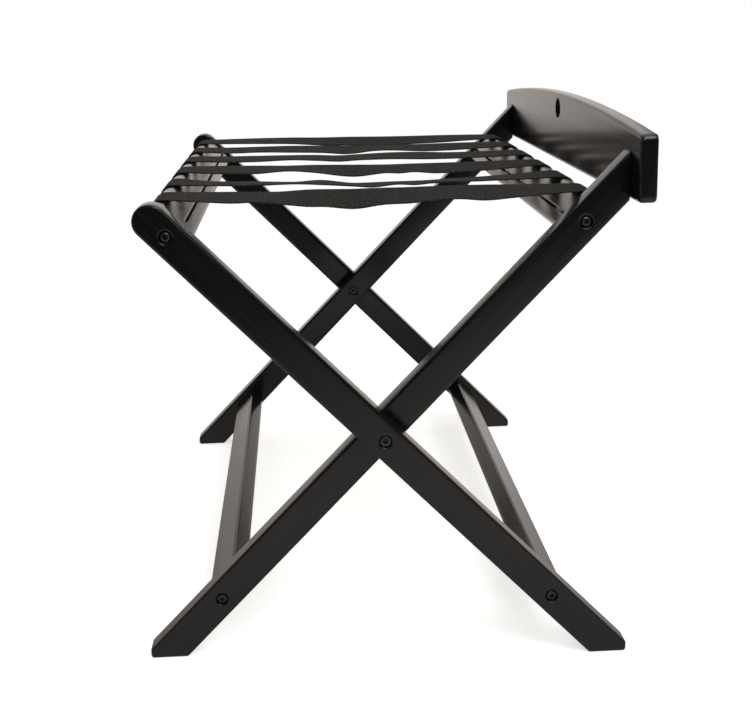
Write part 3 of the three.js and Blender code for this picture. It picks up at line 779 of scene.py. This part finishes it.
def studio_floor(settings):
    """White paper floor, which keeps the object's shadow and fades out to the white behind it.

    Reflections see painted light in place of the paper: lit under and behind the bench, brightest behind
    on the right, dim towards the camera's left, and with a painted shadow of the bench between its legs.
    """
    material, tree = new_material("white_paper_floor")
    path = add_node(tree, "ShaderNodeLightPath")
    place = add_node(tree, "ShaderNodeTexCoord").outputs["Object"]
    # Painted light, seen only in reflections: brighter away from the camera's left front, under and behind
    # the bench, and brightest behind it on the right
    towards = add_node(
        tree, "ShaderNodeVectorMath", {"operation": "DOT_PRODUCT"}, {0: place, 1: (1.1, 1, 0)}
    )
    lit = add_node(
        tree, "ShaderNodeMapRange", {"interpolation_type": "SMOOTHSTEP"},
        {
            "Value": towards.outputs["Value"], "From Min": -1.95, "From Max": -0.5,
            "To Min": 0.06, "To Max": 0.6,
        },
    )
    spot = add_node(tree, "ShaderNodeSeparateXYZ", None, {0: place})
    beside = add_node(
        tree, "ShaderNodeMapRange", {"interpolation_type": "SMOOTHSTEP"},
        {"Value": spot.outputs["Y"], "From Min": -1.15, "From Max": -0.8, "To Min": 0, "To Max": 0.6},
    )
    right_behind = add_node(
        tree, "ShaderNodeVectorMath", {"operation": "DOT_PRODUCT"}, {0: place, 1: (1.5, 1, 0)}
    )
    brightest = add_node(
        tree, "ShaderNodeMapRange", {"interpolation_type": "SMOOTHSTEP"},
        {"Value": right_behind.outputs["Value"], "From Min": 0, "From Max": 0.4, "To Min": 0, "To Max": 0.8},
    )
    near = add_node(
        tree, "ShaderNodeMath", {"operation": "MAXIMUM"}, {0: lit.outputs[0], 1: beside.outputs[0]}
    )
    bright = add_node(
        tree, "ShaderNodeMath", {"operation": "MAXIMUM"}, {0: near.outputs[0], 1: brightest.outputs[0]}
    )
    # Painted shadow of the bench between its legs, seen only in reflections
    reach = add_node(tree, "ShaderNodeVectorMath", {"operation": "LENGTH"}, {0: place})
    painted_bench_shadow = add_node(
        tree, "ShaderNodeMapRange", {"interpolation_type": "SMOOTHSTEP"},
        {"Value": reach.outputs["Value"], "From Min": 0.1, "From Max": 0.6, "To Min": 0.5, "To Max": 1},
    )
    painted_reflection_light = add_node(
        tree, "ShaderNodeMath", {"operation": "MULTIPLY"}, {0: bright.outputs[0], 1: painted_bench_shadow.outputs[0]}
    )
    mirrored = add_node(
        tree, "ShaderNodeMath", {"operation": "ADD", "use_clamp": True},
        {0: path.outputs["Is Glossy Ray"], 1: path.outputs["Is Transmission Ray"]},
    )
    # What the softboxes leave short of white, for the camera alone
    glow = add_node(
        tree, "ShaderNodeMath", {"operation": "MULTIPLY"}, {0: path.outputs["Is Camera Ray"], 1: 0.6}
    )
    paper = add_node(
        tree, "ShaderNodeBsdfDiffuse", None, {"Color": tuple(settings.floor_colour), "Roughness": 0.6}
    )
    white = add_node(tree, "ShaderNodeEmission", None, {"Color": (1, 1, 1, 1), "Strength": glow.outputs[0]})
    seen = add_node(tree, "ShaderNodeAddShader", None, {0: paper.outputs[0], 1: white.outputs[0]})
    # Painted reflection: glossy and transmission rays see this glow in place of the paper
    image = add_node(
        tree, "ShaderNodeEmission", None,
        {"Color": linear(REFLECTED_WHITE), "Strength": painted_reflection_light.outputs[0]},
    )
    sheet = add_node(
        tree, "ShaderNodeMixShader", None, {0: mirrored.outputs[0], 1: seen.outputs[0], 2: image.outputs[0]}
    )
    fade = add_node(
        tree, "ShaderNodeMapRange", {"interpolation_type": "SMOOTHSTEP"},
        {
            "Value": reach.outputs["Value"],
            "From Min": settings.floor_radius * 0.5, "From Max": settings.floor_radius * 0.98,
        },
    )
    clear = add_node(tree, "ShaderNodeBsdfTransparent")
    surface = add_node(
        tree, "ShaderNodeMixShader", None, {0: fade.outputs[0], 1: sheet.outputs[0], 2: clear.outputs[0]}
    )
    add_node(tree, "ShaderNodeOutputMaterial", None, {"Surface": surface.outputs[0]})
    return material


def white_surround():
    """Surround that the camera sees white, and the object as a lit back wall in a dim room."""
    world = bpy.data.worlds.new("white_surround")
    world.use_nodes = True
    tree = world.node_tree
    tree.nodes.clear()
    path = add_node(tree, "ShaderNodeLightPath")
    place = add_node(tree, "ShaderNodeTexCoord").outputs["Generated"]
    way = add_node(tree, "ShaderNodeSeparateXYZ", None, {0: place})
    # Back wall, darker below the ground line
    wall = add_node(
        tree, "ShaderNodeMapRange", {"interpolation_type": "SMOOTHSTEP"},
        {"Value": way.outputs["Y"], "From Min": -0.1, "From Max": 0.8, "To Min": 0, "To Max": 1},
    )
    ground = add_node(
        tree, "ShaderNodeMapRange", {"interpolation_type": "SMOOTHSTEP"},
        {"Value": way.outputs["Z"], "From Min": -0.12, "From Max": -0.07, "To Min": 0.5, "To Max": 1},
    )
    lit_wall = add_node(
        tree, "ShaderNodeMath", {"operation": "MULTIPLY"}, {0: wall.outputs[0], 1: ground.outputs[0]}
    )
    # Both ends of the wall lie in half shade above the ground
    aside = add_node(tree, "ShaderNodeMath", {"operation": "ABSOLUTE"}, {0: way.outputs["X"]})
    wall_ends = add_node(
        tree, "ShaderNodeMapRange", {"interpolation_type": "SMOOTHSTEP"},
        {"Value": aside.outputs[0], "From Min": 0.28, "From Max": 0.34, "To Min": 0, "To Max": 0.58},
    )
    off_ground = add_node(
        tree, "ShaderNodeMapRange", {"interpolation_type": "SMOOTHSTEP"},
        {"Value": way.outputs["Z"], "From Min": 0.005, "From Max": 0.035, "To Min": 0, "To Max": 1},
    )
    dim_end = add_node(
        tree, "ShaderNodeMath", {"operation": "MULTIPLY"}, {0: wall_ends.outputs[0], 1: off_ground.outputs[0]}
    )
    lit_end = add_node(tree, "ShaderNodeMath", {"operation": "SUBTRACT"}, {0: 1.0, 1: dim_end.outputs[0]})
    backdrop = add_node(
        tree, "ShaderNodeMath", {"operation": "MULTIPLY"}, {0: lit_wall.outputs[0], 1: lit_end.outputs[0]}
    )
    # Dim side walls, darker higher up, and darkest behind the camera
    sides = add_node(
        tree, "ShaderNodeMapRange", {"interpolation_type": "SMOOTHSTEP"},
        {"Value": way.outputs["Z"], "From Min": 0.15, "From Max": 0.4, "To Min": 0.12, "To Max": 0.06},
    )
    front = add_node(
        tree, "ShaderNodeMapRange", {"interpolation_type": "SMOOTHSTEP"},
        {"Value": way.outputs["Y"], "From Min": -0.93, "From Max": -0.7, "To Min": 0.2, "To Max": 1},
    )
    walls = add_node(
        tree, "ShaderNodeMath", {"operation": "MULTIPLY"}, {0: sides.outputs[0], 1: front.outputs[0]}
    )
    scenery = add_node(
        tree, "ShaderNodeMath", {"operation": "MAXIMUM"}, {0: backdrop.outputs[0], 1: walls.outputs[0]}
    )
    # Reflections see the scenery, matt surfaces an even light and the camera plain white
    mirrored = add_node(
        tree, "ShaderNodeMath", {"operation": "ADD", "use_clamp": True},
        {0: path.outputs["Is Glossy Ray"], 1: path.outputs["Is Transmission Ray"]},
    )
    room = add_node(
        tree, "ShaderNodeMix", {"data_type": "FLOAT"},
        {0: mirrored.outputs[0], 2: 0.45, 3: scenery.outputs[0]},
    )
    seen = add_node(
        tree, "ShaderNodeMix", {"data_type": "FLOAT"},
        {0: path.outputs["Is Camera Ray"], 2: room.outputs[0], 3: 1.0},
    )
    tint = add_node(
        tree, "ShaderNodeMix", {"data_type": "RGBA"},
        {0: path.outputs["Is Camera Ray"], 6: linear(REFLECTED_WHITE), 7: (1, 1, 1, 1)},
    )
    light = add_node(
        tree, "ShaderNodeBackground", None, {"Color": tint.outputs[2], "Strength": seen.outputs[0]}
    )
    add_node(tree, "ShaderNodeOutputWorld", None, {"Surface": light.outputs[0]})
    return world


def softbox(name, place, size, power):
    """Square softbox that faces the bench and stays out of the picture."""
    lamp = bpy.data.lights.new(name, "AREA")
    lamp.shape = "SQUARE"
    lamp.size = size
    lamp.energy = power
    box = bpy.data.objects.new(name, lamp)
    box.location = place
    box.rotation_euler = (LIGHT_AIM - Vector(place)).to_track_quat("-Z", "Y").to_euler()
    box.visible_camera = False
    return box


def photo_camera(settings):
    """Camera of the photograph: left of the middle, a little above the straps, looking slightly down."""
    view = bpy.data.cameras.new("photo_view")
    view.sensor_width = SENSOR_WIDTH
    view.lens = settings.lens
    view.shift_x = 0.5 - AXIS_X / IMAGE_WIDTH
    view.shift_y = (AXIS_Y - IMAGE_HEIGHT / 2) / IMAGE_WIDTH
    level = Vector((math.sin(CAMERA_YAW), math.cos(CAMERA_YAW), 0))
    ahead = level * math.cos(CAMERA_PITCH) - Vector((0, 0, math.sin(CAMERA_PITCH)))
    right = Vector((level.y, -level.x, 0))
    up = right.cross(ahead)
    side = right * math.cos(CAMERA_ROLL) + up * math.sin(CAMERA_ROLL)
    top = up * math.cos(CAMERA_ROLL) - right * math.sin(CAMERA_ROLL)
    turn = Matrix((side, top, -ahead)).transposed().to_4x4()
    camera = bpy.data.objects.new("photo_view", view)
    camera.matrix_world = Matrix.Translation(CAMERA_PLACE + Vector((PIVOT.x, 0, 0))) @ turn
    return camera


class BENCH_OT_set_stage(bpy.types.Operator):
    """Sets the pale floor, the white surround, three softboxes and the camera"""

    bl_idname = "bench.set_stage"
    bl_label = "Set Stage"

    def execute(self, context):
        scene = context.scene
        settings = scene.bench_studio
        scene.view_settings.view_transform = "Standard"
        disc = bmesh.new()
        bmesh.ops.create_circle(disc, cap_ends=True, radius=settings.floor_radius, segments=FLOOR_SIDES)
        mesh = bpy.data.meshes.new("studio_floor")
        disc.to_mesh(mesh)
        disc.free()
        mesh.materials.append(studio_floor(settings))
        floor = bpy.data.objects.new("studio_floor", mesh)
        floor.location.z = -FLOOR_GAP
        scene.collection.objects.link(floor)
        scene.world = white_surround()
        for name, (place, size) in SOFTBOXES.items():
            power = getattr(settings, f"{name}_power")
            scene.collection.objects.link(softbox(f"{name}_softbox", place, size, power))
        camera = photo_camera(settings)
        scene.collection.objects.link(camera)
        scene.camera = camera
        return {"FINISHED"}


class BENCH_PT_build(bpy.types.Panel):
    """Lists the pieces of the bench and their settings"""

    bl_idname = "BENCH_PT_build"
    bl_label = "Luggage Bench"
    bl_space_type = "VIEW_3D"
    bl_region_type = "UI"
    bl_category = "Bench"

    def draw(self, context):
        layout = self.layout
        for operator, settings in PANEL_ROWS:
            box = layout.box()
            box.operator(operator.bl_idname)
            group = getattr(context.scene, settings)
            for name in group.__annotations__:
                box.prop(group, name)


SETTINGS = {
    "bench_lacquer": LacquerSettings,
    "bench_fasteners": FastenerSettings,
    "bench_webbing": WebbingSettings,
    "bench_studio": StudioSettings,
}
PANEL_ROWS = (
    (BENCH_OT_finish_wood, "bench_lacquer"),
    (BENCH_OT_finish_fasteners, "bench_fasteners"),
    (BENCH_OT_weave_straps, "bench_webbing"),
    (BENCH_OT_drive_staples, "bench_fasteners"),
    (BENCH_OT_set_stage, "bench_studio"),
)
CLASSES = (*SETTINGS.values(), *(row[0] for row in PANEL_ROWS), BENCH_PT_build)


def register():
    for cls in CLASSES:
        bpy.utils.register_class(cls)
    for name, group in SETTINGS.items():
        setattr(bpy.types.Scene, name, PointerProperty(type=group))


def unregister():
    for name in SETTINGS:
        delattr(bpy.types.Scene, name)
    for cls in reversed(CLASSES):
        bpy.utils.unregister_class(cls)


def main():
    register()
    bpy.ops.bench.finish_wood()
    bpy.ops.bench.finish_fasteners()
    bpy.ops.bench.weave_straps()
    bpy.ops.bench.drive_staples()
    bpy.ops.bench.set_stage()


if __name__ == "__main__":
    main()
